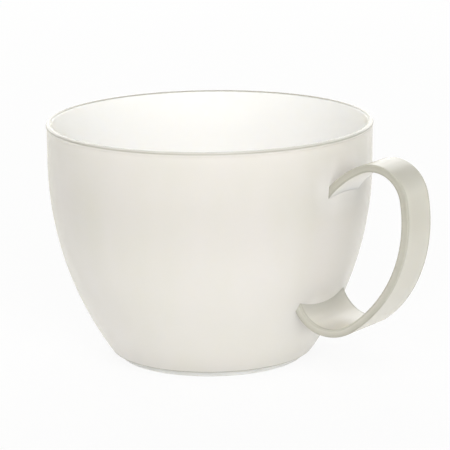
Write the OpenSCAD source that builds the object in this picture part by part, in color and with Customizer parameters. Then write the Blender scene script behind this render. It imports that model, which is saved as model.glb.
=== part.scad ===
// Plastic mug: a thin bowl with a rounded lip, a bent strap handle let into
// its wall, and a ring foot that plugs into its floor.
// The cup's axis is Z, the table is z = 0 and the handle points along +X.

/* [Cup] */
// Diameter over the rounded lip
rim_d = 105; // [95:1:115]
// Height from the table to the top of the lip
cup_h = 77; // [70:1:90]
// Thickness of the wall
wall = 1.6; // [1.2:0.1:2.4]
// How far the lip stands out from the wall
lip_proud = 0.25; // [0.1:0.05:0.6]
// Height of the straight band under the rim
band_h = 13; // [6:1:20]
// Radius of the wall's curve below the band
bowl_r = 108; // [96:1:130]
// Thickness of the floor
floor_t = 2.4; // [2:0.1:4]
// Radius between the floor and the wall, inside
corner_r = 8; // [3:0.5:14]
// Radius on the lower edge of the bowl, outside
base_edge_r = 0.6; // [0.3:0.1:1.5]

/* [Foot] */
// Height of the ring under the floor
foot_h = 2; // [1.2:0.1:4]
// Width of the ring
foot_w = 2.6; // [2:0.1:5]
// How far the ring stands back from the lower edge of the bowl
foot_setback = 2.4; // [1:0.1:5]
// Radius on the lower edges of the ring
foot_edge_r = 0.5; // [0.2:0.1:0.9]
// Width of the tongue on top of the ring
tongue_w = 1.2; // [0.8:0.1:1.8]
// Height of the tongue on top of the ring
tongue_h = 1; // [0.5:0.1:1.4]
// Gap round the tongue in its groove
tongue_gap = 0.05; // [0.02:0.01:0.15]

/* [Handle] */
// Thickness of the strap
strap_t = 2.4; // [1.8:0.1:3.5]
// Radius of the leg that leaves the wall at the top
leg_r = 30; // [26:1:40]
// Slope of the strap where the leg meets the top bend, in degrees
leg_slope = 25; // [15:1:35]
// Radius of the top bend
top_bend_r = 11; // [9:0.5:14]
// Centre of the top bend, below the rim
top_bend_drop = 18.2; // [15:0.1:24]
// Centre of the top bend, out from the wall
top_bend_reach = 14.4; // [11:0.1:17]
// Radius of the long outer sweep
sweep_r = 42; // [36:1:60]
// Radius of the bottom bend
low_bend_r = 12; // [10:0.5:15]
// Centre of the bottom bend, above the table
low_bend_h = 28.6; // [24:0.1:34]
// How far the bottom bend runs in behind the face of the wall
low_bend_dip = 4.8; // [4:0.1:7]
// Least width of the strap, where its sides would run parallel
waist_w = 12.6; // [9:0.1:16]
// Distance of that waist from the foot of the cup's axis
waist_reach = 110; // [100:1:125]
// Tilt of the line that the waist lies on, above the horizontal, in degrees
waist_tilt = 30; // [15:1:45]
// Radius of the strap's hollow sides
side_r = 300; // [220:10:500]
// Depth of the seats in the wall that take the ends of the strap
seat_depth = 0.6; // [0.3:0.1:0.9]
// Gap round the strap in its seats
seat_gap = 0.05; // [0.02:0.01:0.15]

/* [Hidden] */
$fn = 180;
milky_white = [0.90, 0.89, 0.85];

// Centre of the wall's curve, level with the foot of the straight band
wall_r = rim_d / 2 - lip_proud;
curve_x = wall_r - bowl_r;
curve_z = cup_h - band_h;

// The lip spans the wall and its own overhang
lip_d = wall + lip_proud;
lip_x = rim_d / 2 - lip_d / 2;
lip_z = cup_h - lip_d / 2;

floor_z = foot_h + floor_t;
// How far a round edge laps over the wall's curve, for each millimetre of its radius
edge_lap = 0.003;

// Outer radius of the wall at height z
function wall_x(z) = curve_x + sqrt(pow(bowl_r, 2) - pow(max(0, curve_z - z), 2));

foot_x = wall_x(foot_h) - foot_setback;
tongue_x = foot_x - foot_w / 2;

// Centres of the strap's bends, in the plane y = 0
top_z = cup_h - top_bend_drop;
top_bend = [wall_x(top_z) + top_bend_reach, top_z];
low_bend = [wall_x(low_bend_h) + low_bend_r - low_bend_dip, low_bend_h];
leg = top_bend + (leg_r - top_bend_r) * [sin(leg_slope), -cos(leg_slope)];

// Centre of the sweep, which touches both bends from outside
span = low_bend - top_bend;
to_top = sweep_r - top_bend_r;
to_low = sweep_r - low_bend_r;
along = (pow(to_top, 2) - pow(to_low, 2) + span * span) / (2 * norm(span));
across = sqrt(pow(to_top, 2) - pow(along, 2));
sweep = top_bend + (along * span + across * [span.y, -span.x]) / norm(span);

// Angles at which one arc of the strap hands over to the next
leg_end = 90 + leg_slope;
top_end = direction(top_bend - sweep);
low_start = direction(low_bend - sweep);
// The two ends run on into the cup, where the wall cuts them off
leg_start = leg_end + 60;
low_end = low_start - 140;
bend_step = 2.5;
// Stock for the strap, wider and longer than any strap on this cup
blank_w = rim_d;
blank_l = 2 * rim_d;

function direction(v) = atan2(v.y, v.x);

function unit(angle) = [cos(angle), sin(angle)];

function hundredth(x) = round(x * 100) / 100;

// Half-section of the bowl filled to its axis, drawn in from the outer surface
module bowl_section(inset, edge_r, base_z, top_z) {
    r = bowl_r - inset;
    edge_reach = r - edge_r + edge_lap * edge_r;
    edge_z = base_z + edge_r;
    edge_x = curve_x + sqrt(pow(edge_reach, 2) - pow(curve_z - edge_z, 2));
    edge_h = hundredth(edge_r - edge_r * (curve_z - edge_z) / edge_reach);
    intersection() {
        union() {
            intersection() {
                translate([curve_x, curve_z]) circle(r);
                square([rim_d, curve_z]);
            }
            translate([0, curve_z]) square([wall_r - inset, top_z - curve_z]);
        }
        union() {
            translate([0, base_z]) square([edge_x, edge_h]);
            intersection() {
                translate([edge_x, edge_z]) circle(edge_r);
                translate([edge_x, base_z]) square([edge_r, edge_h]);
            }
            translate([0, base_z + edge_h]) square([rim_d, cup_h]);
        }
    }
}

module cup_section() {
    difference() {
        bowl_section(0, base_edge_r, foot_h, lip_z);
        bowl_section(wall, corner_r, floor_z, cup_h);
        tongue_section(tongue_gap);
    }
    translate([lip_x, lip_z]) circle(d = lip_d);
}

// The tongue, or with a gap the groove that takes it
module tongue_section(gap) {
    translate([tongue_x - tongue_w / 2 - gap, foot_h]) square([tongue_w + 2 * gap, tongue_h + gap]);
}

module foot_section() {
    translate([foot_x - foot_w, foot_edge_r]) square([foot_w, foot_h - foot_edge_r]);
    translate([foot_x - foot_w + foot_edge_r, 0]) square([foot_w - 2 * foot_edge_r, foot_edge_r]);
    for (x = [foot_x - foot_w + foot_edge_r, foot_x - foot_edge_r])
        translate([x, foot_edge_r]) circle(foot_edge_r);
    tongue_section(0);
}

// Points along the strap, set off from its middle line, from the leg to the bottom bend
function strap_line(offset) = concat(
    arc_points(leg, leg_r + offset, leg_start, leg_end),
    arc_points(top_bend, top_bend_r + offset, leg_end, top_end),
    arc_points(sweep, sweep_r + offset, top_end, low_start),
    arc_points(low_bend, low_bend_r + offset, low_start, low_end)
);

function arc_points(center, r, from, to) =
    let (steps = ceil((from - to) / bend_step))
    [for (i = [0:steps - 1]) center + r * unit(from + (to - from) * i / steps)];

module strap_section(t) {
    inner = strap_line(-t / 2);
    last = len(inner) - 1;
    polygon(concat(strap_line(t / 2), [for (i = [last:-1:0]) inner[i]]));
}

// The strap before the wall cuts its ends, or with a gap the room it takes
module strap_blank(gap) {
    difference() {
        rotate([90, 0, 0]) linear_extrude(blank_w, center = true) strap_section(strap_t + 2 * gap);
        rotate([0, -waist_tilt, 0])
            for (side = [-1, 1])
                translate([waist_reach, side * (side_r + waist_w / 2), 0])
                    cylinder(h = blank_l, r = side_r - gap, center = true);
    }
}

// Everything inside the bottoms of the seats
module seat_core() {
    rotate_extrude() bowl_section(seat_depth, base_edge_r, foot_h, lip_z);
}

module cup_body() {
    color(milky_white) difference() {
        rotate_extrude() cup_section();
        difference() {
            strap_blank(seat_gap);
            seat_core();
        }
    }
}

module handle_strap() {
    color(milky_white) difference() {
        strap_blank(0);
        seat_core();
    }
}

module foot_ring() {
    color(milky_white) rotate_extrude() foot_section();
}

cup_body();
handle_strap();
foot_ring();
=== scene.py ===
import math

import bmesh
import bpy
from mathutils import Matrix, Vector


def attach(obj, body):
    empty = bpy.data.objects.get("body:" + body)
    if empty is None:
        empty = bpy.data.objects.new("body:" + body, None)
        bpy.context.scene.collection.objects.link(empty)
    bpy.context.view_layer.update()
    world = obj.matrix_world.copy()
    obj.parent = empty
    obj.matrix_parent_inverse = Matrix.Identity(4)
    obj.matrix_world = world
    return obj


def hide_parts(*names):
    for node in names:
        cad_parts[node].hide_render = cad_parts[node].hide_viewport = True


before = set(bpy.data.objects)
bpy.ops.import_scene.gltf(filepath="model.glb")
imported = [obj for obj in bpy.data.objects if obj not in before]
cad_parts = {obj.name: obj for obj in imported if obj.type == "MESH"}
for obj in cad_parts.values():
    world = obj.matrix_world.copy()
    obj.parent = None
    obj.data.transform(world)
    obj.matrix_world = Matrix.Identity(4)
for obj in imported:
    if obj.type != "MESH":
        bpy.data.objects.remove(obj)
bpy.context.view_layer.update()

mm = 0.001
slack = 0.05            # mm, how near a point lies to count as on a face or line
mergeWithin = 0.002     # mm, points closer than this become one
smoothBelow = 30        # degrees, sharper edges stay crisp


# camera first: the photo's viewpoint, found by fitting the outline
shot = {
    "distance": 0.840,      # from the middle of the cup, m
    "height": 0.0385,       # that middle above the table
    "turn": 36.5,           # handle swung to the right and back, degrees
    "elevation": 13.654,
    "aimSide": 0.004555,    # the aim, to the right of the cup's axis
    "aimHeight": 0.042057,
    "roll": -0.694,
    "lens": 207.19, "sensor": 36,   # mm
    "near": 0.05, "far": 20,        # m
}


def placeCamera():
    turn, lift, roll = (math.radians(shot[k]) for k in ("turn", "elevation", "roll"))
    flat = shot["distance"] * math.cos(lift)
    eye = Vector((flat * math.sin(turn), -flat * math.cos(turn),
                  shot["height"] + shot["distance"] * math.sin(lift)))
    aim = Vector((shot["aimSide"] * math.cos(turn), shot["aimSide"] * math.sin(turn),
                  shot["aimHeight"]))
    ahead = (aim - eye).normalized()
    right = ahead.cross(Vector((0, 0, 1))).normalized()
    up = right.cross(ahead)
    rightRolled = right * math.cos(roll) + up * math.sin(roll)
    upRolled = up * math.cos(roll) - right * math.sin(roll)
    axes = Matrix((rightRolled, upRolled, -ahead)).transposed()
    bpy.ops.object.camera_add(location=eye, rotation=axes.to_euler())
    camera = bpy.context.active_object
    camera.name = "photoCamera"
    camera.data.sensor_width = shot["sensor"]
    camera.data.lens = shot["lens"]
    camera.data.clip_start = shot["near"]
    camera.data.clip_end = shot["far"]
    bpy.context.scene.camera = camera
    print("camera stands", round(shot["distance"], 3), "m off")


placeCamera()


# materials
mixA, mixB, mixOut = 6, 7, 2    # colour sockets of a Mix node; its socket 0 is the share of B


def hexLinear(code):
    channels = [int(code[i:i + 2], 16) / 255 for i in (1, 3, 5)]
    return tuple(c / 12.92 if c <= 0.04045 else ((c + 0.055) / 1.055) ** 2.4
                 for c in channels) + (1,)


def freshTree(owner):
    owner.use_nodes = True
    owner.node_tree.nodes.clear()
    return owner.node_tree


def addNode(tree, kind, settings=None, links=None):
    made = tree.nodes.new("ShaderNode" + kind)
    for key, value in (settings or {}).items():
        if isinstance(key, int) or key in made.inputs:
            made.inputs[key].default_value = value
        else:
            setattr(made, key, value)
    for key, source in (links or {}).items():
        tree.links.new(source, made.inputs[key])
    return made


# Moulded polypropylene, natural with a little white: milky, satin, and a light ivory.
# Thin walls pass light. Light is painted into the colour where the cup is flooded with it,
# most of all inside; shade is painted grey along rounded edges, and there no light passes.
milkyPlastic = {
    "ivory": "#D7D4D2",
    "ivoryDeep": "#D4D2CD",         # cloudier places in the melt
    "paintedLight": "#FAF7F5",              # painted light, for the inside flooded with light
    "edgeGrey": "#A3A093",          # painted shade along edges, creases and under the lip
    "ior": 1.49,
    "roughness": (0.22, 0.27),      # it changes along the flow streaks
    "depth": 0.003,                 # how far light wanders in the wall, m
    "depthTint": (1.0, 0.97, 0.9),  # red wanders furthest, blue least
    "sheen": 0.12,                  # soft light rim where the wall turns away
    "sheenTint": "#FFF0AA",         # warmer there, more plastic to look through
    "sheenSpread": 0.3,
    "cloudSize": 30,                # mm
    "flowWidth": 12,                # mm, streaks of flow up the wall
    "flowStretch": 0.3,             # less than 1 draws them out upwards
    "meltSpan": (0.12, 0.42),       # cloud times flow, from ivory to ivoryDeep
    "waveSize": 14,                 # mm, slow waves left by cooling
    "waveHeight": 0.02,             # mm
    "peelSize": 1.6,                # mm, mould texture; really finer, drawn coarser to show
    "peelHeight": 0.004,            # mm
    "scuffSize": 2.5,               # mm, rubbed patches where the mug is set down
    "scuffDull": 0.5,               # roughness they add
}


def milkyMaterial(name, look=None):
    p = {**milkyPlastic, **(look or {})}
    material = bpy.data.materials.new(name)
    tree = freshTree(material)
    place = addNode(tree, "TexCoord").outputs["Object"]

    # colour: two ivories in the melt, painted light inside, painted shade along the edges
    cloud = addNode(tree, "TexNoise", {"Scale": 1 / (p["cloudSize"] * mm), "Detail": 2},
                    {"Vector": place})
    stretched = addNode(tree, "Mapping", {"Scale": (1, 1, p["flowStretch"])}, {"Vector": place})
    flow = addNode(tree, "TexNoise", {"Scale": 1 / (p["flowWidth"] * mm), "Detail": 1},
                   {"Vector": stretched.outputs["Vector"]})
    blend = addNode(tree, "Math", {"operation": "MULTIPLY"},
                    {0: cloud.outputs["Fac"], 1: flow.outputs["Fac"]})
    tone = addNode(tree, "MapRange", {"From Min": p["meltSpan"][0], "From Max": p["meltSpan"][1]},
                   {"Value": blend.outputs["Value"]})
    melt = addNode(tree, "Mix", {"data_type": "RGBA", mixA: hexLinear(p["ivory"]),
                                 mixB: hexLinear(p["ivoryDeep"])},
                   {0: tone.outputs["Result"]})
    paintedLight = addNode(tree, "Attribute", {"attribute_name": "paintedLight"})
    lit = addNode(tree, "Mix", {"data_type": "RGBA", mixB: hexLinear(p["paintedLight"])},
                  {0: paintedLight.outputs["Fac"], mixA: melt.outputs[mixOut]})
    edge = addNode(tree, "Attribute", {"attribute_name": "edge"})
    colour = addNode(tree, "Mix", {"data_type": "RGBA", mixB: hexLinear(p["edgeGrey"])},
                     {0: edge.outputs["Fac"], mixA: lit.outputs[mixOut]})

    # light passes the wall, but not where shade is painted or where it is backed
    weld = addNode(tree, "Attribute", {"attribute_name": "weld"})
    closed = addNode(tree, "Math", {"operation": "MAXIMUM"},
                     {0: edge.outputs["Fac"], 1: weld.outputs["Fac"]})
    passing = addNode(tree, "Math", {"operation": "SUBTRACT", 0: 1.0},
                      {1: closed.outputs["Value"]})

    # gloss along the flow, dulled by scuffs
    gloss = addNode(tree, "MapRange", {"To Min": p["roughness"][0], "To Max": p["roughness"][1]},
                    {"Value": flow.outputs["Fac"]})
    scuff = addNode(tree, "TexNoise", {"Scale": 1 / (p["scuffSize"] * mm), "Detail": 3},
                    {"Vector": place})
    worn = addNode(tree, "Attribute", {"attribute_name": "wear"})
    dulled = addNode(tree, "Math", {"operation": "MULTIPLY"},
                     {0: scuff.outputs["Fac"], 1: worn.outputs["Fac"]})
    dull = addNode(tree, "Math", {"operation": "MULTIPLY_ADD", 1: p["scuffDull"]},
                   {0: dulled.outputs["Value"], 2: gloss.outputs["Result"]})

    # cooling waves under the mould texture
    wave = addNode(tree, "TexNoise", {"Scale": 1 / (p["waveSize"] * mm), "Detail": 0},
                   {"Vector": place})
    waved = addNode(tree, "Bump", {"Strength": 1.0, "Distance": p["waveHeight"] * mm},
                    {"Height": wave.outputs["Fac"]})
    peel = addNode(tree, "TexNoise", {"Scale": 1 / (p["peelSize"] * mm), "Detail": 2},
                   {"Vector": place})
    bump = addNode(tree, "Bump", {"Strength": 1.0, "Distance": p["peelHeight"] * mm},
                   {"Height": peel.outputs["Fac"], "Normal": waved.outputs["Normal"]})

    plastic = addNode(tree, "BsdfPrincipled", {
        "IOR": p["ior"],
        "Subsurface Radius": p["depthTint"],
        "Subsurface Scale": p["depth"],
        "Sheen Weight": p["sheen"],
        "Sheen Tint": hexLinear(p["sheenTint"]),
        "Sheen Roughness": p["sheenSpread"],
    }, {"Base Color": colour.outputs[mixOut], "Subsurface Weight": passing.outputs["Value"],
        "Roughness": dull.outputs["Value"], "Normal": bump.outputs["Normal"]})
    addNode(tree, "OutputMaterial", {}, {"Surface": plastic.outputs["BSDF"]})
    return material


def ramp(value, stops):
    # eased steps between stops of (place, tone)
    for (place, tone), (nextPlace, nextTone) in zip(stops, stops[1:]):
        if value <= nextPlace:
            share = max(0, (value - place) / (nextPlace - place))
            return tone + (nextTone - tone) * share * share * (3 - 2 * share)
    return stops[-1][1]


def paintTones(piece, tones):
    # each tone takes a point in mm and gives 0 to 1
    for name, tone in tones.items():
        layer = piece.data.attributes.new(name, "FLOAT", "POINT")
        for v, painted in zip(piece.data.vertices, layer.data):
            painted.value = min(1, max(0, tone(v.co.x / mm, v.co.y / mm, v.co.z / mm)))


# modelling helpers
def polar(center, r, angle):
    turn = math.radians(angle)
    return (center[0] + r * math.cos(turn), center[1] + r * math.sin(turn))


def arc(center, r, start, end, steps):
    return [polar(center, r, start + (end - start) * i / steps) for i in range(steps + 1)]


def addPlane(name, size, location=(0, 0, 0), rotation=(0, 0, 0)):
    bpy.ops.object.select_all(action="DESELECT")
    bpy.ops.mesh.primitive_plane_add(size=size, location=location, rotation=rotation)
    plane = bpy.context.active_object
    plane.name = plane.data.name = name
    return plane


def drawSection(name, points):
    # one vertex, pulled from point to point in the XZ plane, sizes in mm
    piece = addPlane(name, mm)
    bpy.ops.object.mode_set(mode="EDIT")
    bpy.ops.mesh.select_all(action="SELECT")
    bpy.ops.mesh.merge(type="CENTER")
    x, z = points[0]
    bpy.ops.transform.translate(value=(x * mm, 0, z * mm))
    for nextX, nextZ in points[1:]:
        step = ((nextX - x) * mm, 0, (nextZ - z) * mm)
        bpy.ops.mesh.extrude_region_move(TRANSFORM_OT_translate={"value": step})
        x, z = nextX, nextZ
    return piece


def closeMesh():
    bpy.ops.mesh.select_all(action="SELECT")
    bpy.ops.mesh.remove_doubles(threshold=mergeWithin * mm)
    bpy.ops.mesh.normals_make_consistent(inside=False)


def spinRound(steps):
    bpy.ops.mesh.select_all(action="SELECT")
    bpy.ops.mesh.spin(steps=steps, angle=2 * math.pi, center=(0, 0, 0), axis=(0, 0, 1))
    closeMesh()


def finishPiece(piece, node):
    bpy.ops.object.mode_set(mode="OBJECT")
    bpy.ops.object.shade_smooth_by_angle(angle=math.radians(smoothBelow))
    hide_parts(node)
    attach(piece, "root")
    print(piece.name, "has", len(piece.data.polygons), "faces")


# cup body: the half section drawn from the gate under the floor, out, up, over the lip
# and down inside, in mm and degrees
cup = {
    "wallR": 52.25, "curve": (-55.75, 64), "bowlR": 108, "wall": 1.6,
    "lip": (51.575, 76.075), "lipR": 0.925,
    "underside": 2.0, "baseEdge": (32.3703, 2.6), "baseEdgeR": 0.6, "baseTurn": -34.868,
    "floor": 4.4, "corner": (28.0636, 12.4), "cornerR": 8, "cornerTurn": -31.619,
    "grooveIn": 28.331, "grooveOut": 29.631, "grooveTop": 3.05,
    "gateR": 3.2, "gateDeep": 0.35, "gateSlope": 0.5,
    # rows of points: by radius under and on the floor, by height on the straight band,
    # by mm below the lip's crease, by degrees past the base edge
    "undersideRows": (10, 18, 24), "floorRows": (20, 12, 5, 0),
    "bandRows": (68, 72), "creaseRows": (1, 0.1, 0), "baseRow": 0.1,
    "baseSteps": 6, "wallSteps": 36, "lipSteps": 40, "insideSteps": 34, "cornerSteps": 14,
    "steps": 256,               # round the axis
    # painted light and painted shade over the lip, by degrees from its crest, outwards
    "lipPaintedLight": ((-70, 1), (-45, 0.1), (40, 0.1), (75, 0.15), (110, 0.1)),
    "lipPaintedShade": ((-54, 0), (-42, 0.85), (-16, 0.85), (-6, 0.38), (52, 0.3),
                (62, 0.75), (76, 0.75), (90, 0.15), (110, 0)),
    # by height: painted light from the floor on the bowl, and painted shade on the lower rim
    "outsidePaintedLight": ((3, 0.2), (12, 0.29), (30, 0.24), (58, 0.02), (70, 0.06), (75, 0.14)),
    "baseEdgePaintedShade": ((2.27, 0.8), (2.4, 0)),
    # where the strap meets the wall, painted light lifts the shade the strap casts: height,
    # half height, half width, painted light by mm above it and by mm below it
    "roots": (
        (61.5, 1.7, 8.5, ((0, 1), (2, 0.85), (5, 0.5), (11, 0)),
         ((0, 0.75), (1.6, 0.35), (4, 0.18), (9, 0))),
        (21.9, 1.4, 9.6, ((0, 0.9), (1.6, 0.6), (4, 0.3), (9, 0)),
         ((0, 0.3), (3, 0))),
    ),
    "rootEnds": ((-4, 1), (1, 0.35), (8, 0)),       # by mm out past the strap's side
    # no light is lost through the wall by mm from a root, nor much through the floor
    # by mm from the axis
    "weld": ((0, 1), (3, 0.8), (9, 0)),
    "floorWeld": ((22, 0.75), (30, 0.6), (37, 0)),
}


def onLip(z):
    return z > cup["lip"][1] - cup["lipR"]


def fromCrest(x, y, z):
    # degrees from the top of the lip, outwards
    return math.degrees(math.atan2(math.hypot(x, y) - cup["lip"][0], z - cup["lip"][1]))


def wallOuter(z):
    # outer radius of the wall at a height
    return cup["curve"][0] + math.sqrt(cup["bowlR"] ** 2 - max(0, cup["curve"][1] - z) ** 2)


def isInside(x, y, z):
    return z > cup["floor"] - slack and math.hypot(x, y) < wallOuter(z) - cup["wall"] / 2


# painted light: lighter inside, over the lip, low on the bowl and round the strap's roots
def cupPaintedLight(x, y, z):
    if onLip(z):
        return ramp(fromCrest(x, y, z), cup["lipPaintedLight"])
    if isInside(x, y, z):
        return 1
    tone = ramp(z, cup["outsidePaintedLight"])
    if x < 0:
        return tone
    for middle, high, wide, above, below in cup["roots"]:
        away = max(0, abs(z - middle) - high)
        shine = ramp(away, above if z > middle else below)
        tone = max(tone, shine * ramp(abs(y) - wide, cup["rootEnds"]))
    return tone


# painted shade: dark lines over the lip and at the foot of the bowl
def cupPaintedShade(x, y, z):
    if onLip(z):
        return ramp(fromCrest(x, y, z), cup["lipPaintedShade"])
    if math.hypot(x, y) > cup["baseEdge"][0] - slack:
        return ramp(z, cup["baseEdgePaintedShade"])
    return 0


def cupWeld(x, y, z):
    tone = 0
    if x > 0:
        near = min(math.hypot(max(0, abs(z - middle) - high), max(0, abs(y) - wide))
                   for middle, high, wide, *_ in cup["roots"])
        tone = ramp(near, cup["weld"])
    if isInside(x, y, z):
        tone = max(tone, ramp(math.hypot(x, y), cup["floorWeld"]))
    return tone


def makeCup():
    c = cup
    lipFoot = math.sqrt(c["lipR"] ** 2 - (c["wallR"] - c["lip"][0]) ** 2)
    lipTurn = math.degrees(math.asin(lipFoot / c["lipR"]))
    creaseZ = c["lip"][1] - lipFoot
    gateTop = c["underside"] + c["gateDeep"]
    points = [(0, gateTop), (c["gateR"] - c["gateSlope"], gateTop), (c["gateR"], c["underside"])]
    points += [(r, c["underside"]) for r in c["undersideRows"]]
    points += [(c["grooveIn"], c["underside"]), (c["grooveIn"], c["grooveTop"]),
               (c["grooveOut"], c["grooveTop"]), (c["grooveOut"], c["underside"])]
    points += arc(c["baseEdge"], c["baseEdgeR"], -90, c["baseTurn"], c["baseSteps"])
    points.append(polar(c["curve"], c["bowlR"], c["baseTurn"] + c["baseRow"]))
    points += arc(c["curve"], c["bowlR"], c["baseTurn"], 0, c["wallSteps"])[1:]
    points += [(c["wallR"], z) for z in c["bandRows"]]
    points += [(c["wallR"], creaseZ - drop) for drop in c["creaseRows"]]
    points += arc(c["lip"], c["lipR"], -lipTurn, 180, c["lipSteps"])[1:]
    points += [(c["wallR"] - c["wall"], z) for z in reversed(c["bandRows"])]
    points += arc(c["curve"], c["bowlR"] - c["wall"], 0, c["cornerTurn"], c["insideSteps"])
    points += arc(c["corner"], c["cornerR"], c["cornerTurn"], -90, c["cornerSteps"])[1:]
    points += [(r, c["floor"]) for r in c["floorRows"]]
    piece = drawSection("cupBody", points)
    spinRound(c["steps"])
    finishPiece(piece, "cup_body")
    paintTones(piece, {"paintedLight": cupPaintedLight, "edge": cupPaintedShade, "weld": cupWeld})
    piece.data.materials.append(milkyMaterial("polypropyleneCup"))


# handle strap: a flat section spun round four arcs, waisted, its edges eased and its ends
# let into the wall, in mm and degrees
strap = {
    "thick": 2.4,
    "arcs": (                                       # centre in XZ, radius, from, to
        ((74.5545, 41.5802), 30, 175, 115),         # leg off the wall
        ((66.5247, 58.8), 11, 115, 10.733),         # top bend
        ((36.0671, 53.0268), 42, 10.733, -54.511),  # long sweep
        ((53.4835, 28.6), 12, -54.511, -194.511),   # bottom bend
    ),
    "arcSlack": 1,              # degrees past an arc's end that still count as on it
    "bendStep": 2.5,
    "blankWidth": 20, "blankCuts": 9,
    # a row of points is numbered by its mm from the middle of the blank: these lie
    # so many mm in from the side, and the others evenly between
    "edgeRows": {10: 0, 8: 0.7, 6: 1.0},
    "sideRow": 0.5,             # a row along each side, mm in from the middle of the thickness
    "waistHalf": 6.3, "waistReach": 110, "waistTilt": 30, "sideR": 300,
    "edgeR": 0.35, "edgeSteps": 6,
    "seatDepth": 0.6,
    "plugLow": 8, "plugTop": 75, "plugSteps": 40,   # the plug that cuts the ends, by height
    # painted shade on a face, by mm in from the side, and its fading by height
    "facePaintedShade": ((0.7, 0.65), (1.0, 0)),
    "faceFade": ((24, 1), (42, 0.75)),
    # painted shade over a side, by mm out from the middle of the thickness, with a painted dark
    # outline under the lower bend, and their fading by height, as the floor lights that bend
    "sidePaintedShade": ((-0.85, 0.8), (-0.55, 0.45), (0.85, 0.62), (1.0, 0.65)),
    "sideFade": ((14, 0.8), (30, 1.02), (50, 0.92), (62, 1.1)),
    "sideOutlineShade": ((0.5, 0), (0.85, 0.75), (1.1, 1)),
    "rimFade": ((24, 1), (40, 0)),
    "bendShade": ((15, 0), (45, 0.4), (72, 0.4), (84, 0)),  # painted shade round the top bend, by degrees
    "lowPaintedLight": ((18, 0.2), (45, 0.1), (56, 0)),             # painted light from the floor, by height
    # by mm out from the wall: painted shade in the lower root, painted light under the leg at the
    # upper one
    "rootShade": ((0, 0.45), (1.5, 0.35), (5, 0)),
    "rootPaintedLight": ((0, 0.9), (8, 0.7), (16, 0)),
    "halfway": 40,              # height between the lower root and the upper one
    "innerFace": -1,            # where the inner face starts, mm out from mid thickness
    # the strap's ivories are darker than the cup's: painted shade on a copy of the same plastic
    "look": {"ivory": "#D0CEC6", "ivoryDeep": "#CDCAC1", "waveSize": 7, "waveHeight": 0.05},
}


def halfWidth(x, z):
    tilt = math.radians(strap["waistTilt"])
    off = x * math.cos(tilt) + z * math.sin(tilt) - strap["waistReach"] * mm
    sideR = strap["sideR"] * mm
    return strap["waistHalf"] * mm + sideR - math.sqrt(sideR ** 2 - off ** 2)


def strapPlace(x, y, z):
    # in mm: how far out from the strap's middle line, and how far in from its side
    offs = []
    for centre, r, start, end in strap["arcs"]:
        turn = math.degrees(math.atan2(z - centre[1], x - centre[0]))
        if turn > start + strap["arcSlack"]:
            turn -= 360
        if turn > end - strap["arcSlack"]:
            offs.append(math.hypot(x - centre[0], z - centre[1]) - r)
    return min(offs, key=abs), halfWidth(x * mm, z * mm) / mm - abs(y)


def fromWall(x, y, z):
    return math.hypot(x, y) - wallOuter(z)


# painted shade along the strap's edges and sides, round the top bend and at the lower root
def strapPaintedShade(x, y, z):
    off, inside = strapPlace(x, y, z)
    if inside < strap["edgeR"]:
        side = ramp(off, strap["sidePaintedShade"]) * ramp(z, strap["sideFade"])
        return max(side, ramp(off, strap["sideOutlineShade"]) * ramp(z, strap["rimFade"]))
    face = ramp(inside, strap["facePaintedShade"])
    if off > 0:
        topBend = strap["arcs"][1][0]
        turn = math.degrees(math.atan2(z - topBend[1], x - topBend[0]))
        return max(face * ramp(z, strap["faceFade"]), ramp(turn, strap["bendShade"]))
    if z > strap["halfway"]:
        return 0
    return max(face, ramp(fromWall(x, y, z), strap["rootShade"]))


# painted light from the floor low on the strap and under the upper leg
def strapPaintedLight(x, y, z):
    off = strapPlace(x, y, z)[0]
    if off > 0 or z < strap["halfway"]:
        return ramp(z, strap["lowPaintedLight"])
    return ramp(fromWall(x, y, z), strap["rootPaintedLight"]) if off < strap["innerFace"] else 0


def bendStrap():
    # the end of the strap, cut into rows, then spun round one arc after the other
    centre, r, start, _ = strap["arcs"][0]
    x, z = polar(centre, r, start)
    piece = addPlane("handleStrap", 1, (x * mm, 0, z * mm), (0, -math.radians(start), 0))
    piece.scale = (strap["thick"] * mm, strap["blankWidth"] * mm, 1)
    bpy.ops.object.transform_apply(location=True, rotation=True, scale=True)
    bpy.ops.object.mode_set(mode="EDIT")
    bpy.ops.mesh.select_mode(type="EDGE")
    for cuts, crosswise in ((strap["blankCuts"], False), (1, True)):
        bpy.ops.mesh.select_all(action="DESELECT")
        for e in bmesh.from_edit_mesh(piece.data).edges:
            a, b = e.verts
            e.select = (abs(a.co.y - b.co.y) < slack * mm) == crosswise
        bpy.ops.mesh.subdivide(number_cuts=cuts)
    bpy.ops.mesh.select_mode(type="VERT")
    bpy.ops.mesh.select_all(action="DESELECT")
    for v in bmesh.from_edit_mesh(piece.data).verts:
        v.select = abs(strapPlace(*(v.co / mm))[0]) < slack
    inX, inZ = polar((0, 0), -strap["sideRow"] * mm, start)
    bpy.ops.transform.translate(value=(inX, 0, inZ))
    bpy.ops.mesh.select_all(action="SELECT")
    for centre, _, start, end in strap["arcs"]:
        bpy.ops.mesh.spin(steps=math.ceil((start - end) / strap["bendStep"]),
                          angle=math.radians(start - end),
                          center=(centre[0] * mm, 0, centre[1] * mm), axis=(0, -1, 0))
    closeMesh()
    return piece


def rowReach(level, half):
    # how far out the row of that number goes, where the strap has that half width
    nearest = min(strap["edgeRows"])
    if level in strap["edgeRows"]:
        return half - strap["edgeRows"][level] * mm
    return (half - strap["edgeRows"][nearest] * mm) * level / nearest


def drawToWidth(piece):
    # every row of points is drawn out to the width of the strap there
    rows = {}
    for v in bmesh.from_edit_mesh(piece.data).verts:
        level = round(abs(v.co.y) / mm)
        rows.setdefault((round(v.co.x, 6), round(v.co.z, 6), level), []).append(v)
    for (x, z, level), row in rows.items():
        if level == 0:
            continue
        bpy.ops.mesh.select_all(action="DESELECT")
        for v in row:
            v.select = True
        stretch = rowReach(level, halfWidth(x, z)) / (level * mm)
        bpy.ops.transform.resize(value=(1, stretch, 1), center_override=(x, 0, z))


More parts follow.
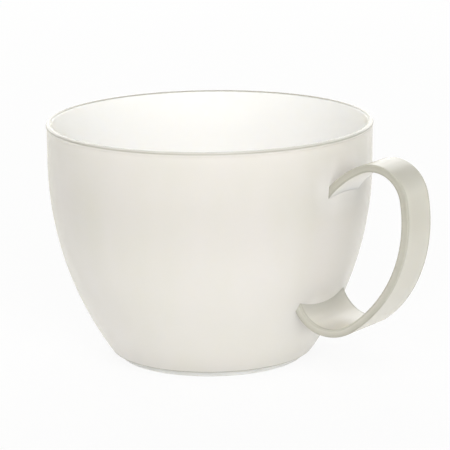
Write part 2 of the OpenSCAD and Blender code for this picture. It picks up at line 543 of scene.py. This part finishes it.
def easeEdges(piece):
    # the long edges of the strap, first the outer ones and then the inner ones
    for side in (1, -1):
        bpy.ops.mesh.select_mode(type="EDGE")
        bpy.ops.mesh.select_all(action="DESELECT")
        for e in bmesh.from_edit_mesh(piece.data).edges:
            ends = [strapPlace(*(v.co / mm)) for v in e.verts]
            e.select = all(inside < slack and abs(off - side * strap["thick"] / 2) < slack
                           for off, inside in ends)
        bpy.ops.mesh.bevel(offset=strap["edgeR"] * mm, segments=strap["edgeSteps"],
                           affect="EDGES")
    bpy.ops.mesh.select_mode(type="VERT")
    bpy.ops.object.mode_set(mode="OBJECT")


def makeSeatPlug():
    # the cup filled solid, drawn in by the depth of the seats
    low, top = strap["plugLow"], strap["plugTop"]
    r = cup["bowlR"] - strap["seatDepth"]
    lowTurn = -math.degrees(math.asin((cup["curve"][1] - low) / r))
    points = [(0, low)] + arc(cup["curve"], r, lowTurn, 0, strap["plugSteps"])
    points += [(cup["wallR"] - strap["seatDepth"], top), (0, top)]
    plug = drawSection("seatPlug", points)
    spinRound(cup["steps"])
    bpy.ops.object.mode_set(mode="OBJECT")
    return plug


def cutEnds(piece):
    # ends cut to the cup, a little under its face
    plug = makeSeatPlug()
    bpy.ops.object.select_all(action="DESELECT")
    piece.select_set(True)
    bpy.context.view_layer.objects.active = piece
    cut = piece.modifiers.new("seatCut", "BOOLEAN")
    cut.operation = "DIFFERENCE"
    cut.solver = "EXACT"
    cut.object = plug
    bpy.ops.object.modifier_apply(modifier=cut.name)
    bpy.data.objects.remove(plug)


def makeStrap():
    piece = bendStrap()
    drawToWidth(piece)
    easeEdges(piece)
    cutEnds(piece)
    finishPiece(piece, "handle_strap")
    even = piece.modifiers.new("evenNormals", "WEIGHTED_NORMAL")
    even.keep_sharp = True
    bpy.ops.object.modifier_apply(modifier=even.name)
    paintTones(piece, {"edge": strapPaintedShade, "paintedLight": strapPaintedLight})
    piece.data.materials.append(milkyMaterial("polypropyleneStrap", strap["look"]))


# foot ring: plugs into the groove under the floor with a tongue, in mm
foot = {
    "inner": 27.681, "outer": 30.281, "height": 2, "edgeR": 0.5, "edgeSteps": 6,
    "tongueIn": 28.381, "tongueOut": 29.581, "tongueTop": 3,
    "steps": 192,                   # round the axis
    "wear": ((0, 1), (0.4, 0)),     # by height: rubbed where it stands
    "paintedLight": ((0, 0.2), (0.35, 1)),  # by height: painted light from the table in the ring
}


def makeFoot():
    f = foot
    r = f["edgeR"]
    points = arc((f["outer"] - r, r), r, -90, 0, f["edgeSteps"])
    points += [(f["outer"], f["height"]), (f["tongueOut"], f["height"]),
               (f["tongueOut"], f["tongueTop"]), (f["tongueIn"], f["tongueTop"]),
               (f["tongueIn"], f["height"]), (f["inner"], f["height"])]
    points += arc((f["inner"] + r, r), r, 180, 270, f["edgeSteps"])
    points.append(points[0])
    piece = drawSection("footRing", points)
    spinRound(f["steps"])
    finishPiece(piece, "foot_ring")
    # painted light over the ring above its resting face, and rubbed wear on that face
    paintTones(piece, {"wear": lambda x, y, z: ramp(z, f["wear"]),
                       "paintedLight": lambda x, y, z: ramp(z, f["paintedLight"])})
    piece.data.materials.append(milkyMaterial("polypropyleneFoot"))


makeCup()
makeStrap()
makeFoot()


# floor, light and surround
studio = {
    "white": "#FFFFFF",
    "floorSize": 6,         # m
    "floorWhite": "#FAFAFA",
    "floorLift": 0.9,       # share of plain white in what the eye sees of the floor
    "horizonFill": 1.0,     # light from the white surround, strongest near the floor
    "ceilingFill": 0.0,
    "fillSpan": (0.1, 0.9),  # where it falls off, 0 at the horizon and 1 overhead
    "fillTint": "#FEFFF6",  # a touch of warm green, as the walls round the set would send back
    "lampDistance": 1.4,    # m
    "lampAim": 0.04,        # m above the table
    "lamps": {              # radiance, width, height, degrees round from the camera, degrees up
        "frontSoftbox": (3.36, 0.9, 1.1, 0, 36),
        "sideSoftbox": (2.1, 0.8, 0.4, 34, 9),
        "backSoftbox": (1.4, 1.4, 0.8, 180, 42),
        "lowBackSoftbox": (1.2, 2.4, 0.7, 180, 16),
        "topSoftbox": (0.75, 1.0, 1.0, 0, 86),
    },
}


def seenByEye(tree):
    # 1 for what the camera sees, also in gloss or through something, 0 for light on the object
    rays = addNode(tree, "LightPath")
    seen = addNode(tree, "Math", {"operation": "MAXIMUM"},
                   {0: rays.outputs["Is Camera Ray"], 1: rays.outputs["Is Glossy Ray"]})
    seenAll = addNode(tree, "Math", {"operation": "MAXIMUM"},
                      {0: seen.outputs["Value"], 1: rays.outputs["Is Transmission Ray"]})
    return seenAll.outputs["Value"]


def layFloor():
    floor = addPlane("paleFloor", studio["floorSize"])
    paper = bpy.data.materials.new("palePaper")
    tree = freshTree(paper)
    share = addNode(tree, "Math", {"operation": "MULTIPLY", 1: studio["floorLift"]},
                    {0: seenByEye(tree)})
    matt = addNode(tree, "BsdfDiffuse", {"Color": hexLinear(studio["floorWhite"])})
    white = addNode(tree, "Emission", {"Color": hexLinear(studio["white"]), "Strength": 1.0})
    mix = addNode(tree, "MixShader", {}, {0: share.outputs["Value"], 1: matt.outputs["BSDF"],
                                          2: white.outputs["Emission"]})
    addNode(tree, "OutputMaterial", {}, {"Surface": mix.outputs["Shader"]})
    floor.data.materials.append(paper)
    print("floor is laid")


def hangSurround():
    world = bpy.data.worlds.new("whiteSurround")
    bpy.context.scene.world = world
    tree = freshTree(world)
    seen = seenByEye(tree)
    aim = addNode(tree, "SeparateXYZ", {},
                  {"Vector": addNode(tree, "TexCoord").outputs["Generated"]})
    fill = addNode(tree, "MapRange", {
        "interpolation_type": "SMOOTHSTEP",
        "From Min": studio["fillSpan"][0], "From Max": studio["fillSpan"][1],
        "To Min": studio["horizonFill"], "To Max": studio["ceilingFill"],
    }, {"Value": aim.outputs["Z"]})
    level = addNode(tree, "MapRange", {"To Max": 1.0},
                    {"Value": seen, "To Min": fill.outputs["Result"]})
    tint = addNode(tree, "Mix", {"data_type": "RGBA", mixA: hexLinear(studio["fillTint"]),
                                 mixB: hexLinear(studio["white"])}, {0: seen})
    sky = addNode(tree, "Background", {}, {"Color": tint.outputs[mixOut],
                                           "Strength": level.outputs["Result"]})
    addNode(tree, "OutputWorld", {}, {"Surface": sky.outputs["Background"]})
    print("surround is hung")


def hangLamps():
    aim = Vector((0, 0, studio["lampAim"]))
    for name, (radiance, width, height, turn, lift) in studio["lamps"].items():
        turn, lift = math.radians(shot["turn"] + turn), math.radians(lift)
        out = Vector((math.sin(turn) * math.cos(lift), -math.cos(turn) * math.cos(lift),
                      math.sin(lift)))
        bpy.ops.object.light_add(type="AREA", location=out * studio["lampDistance"] + aim,
                                 rotation=(-out).to_track_quat("-Z", "Y").to_euler())
        lamp = bpy.context.active_object
        lamp.name = name
        lamp.data.shape = "RECTANGLE"
        lamp.data.size = width
        lamp.data.size_y = height
        lamp.data.energy = radiance * math.pi * width * height
    print("studio is lit by", len(studio["lamps"]), "lamps")


bpy.context.scene.view_settings.view_transform = "Standard"
layFloor()
hangSurround()
hangLamps()
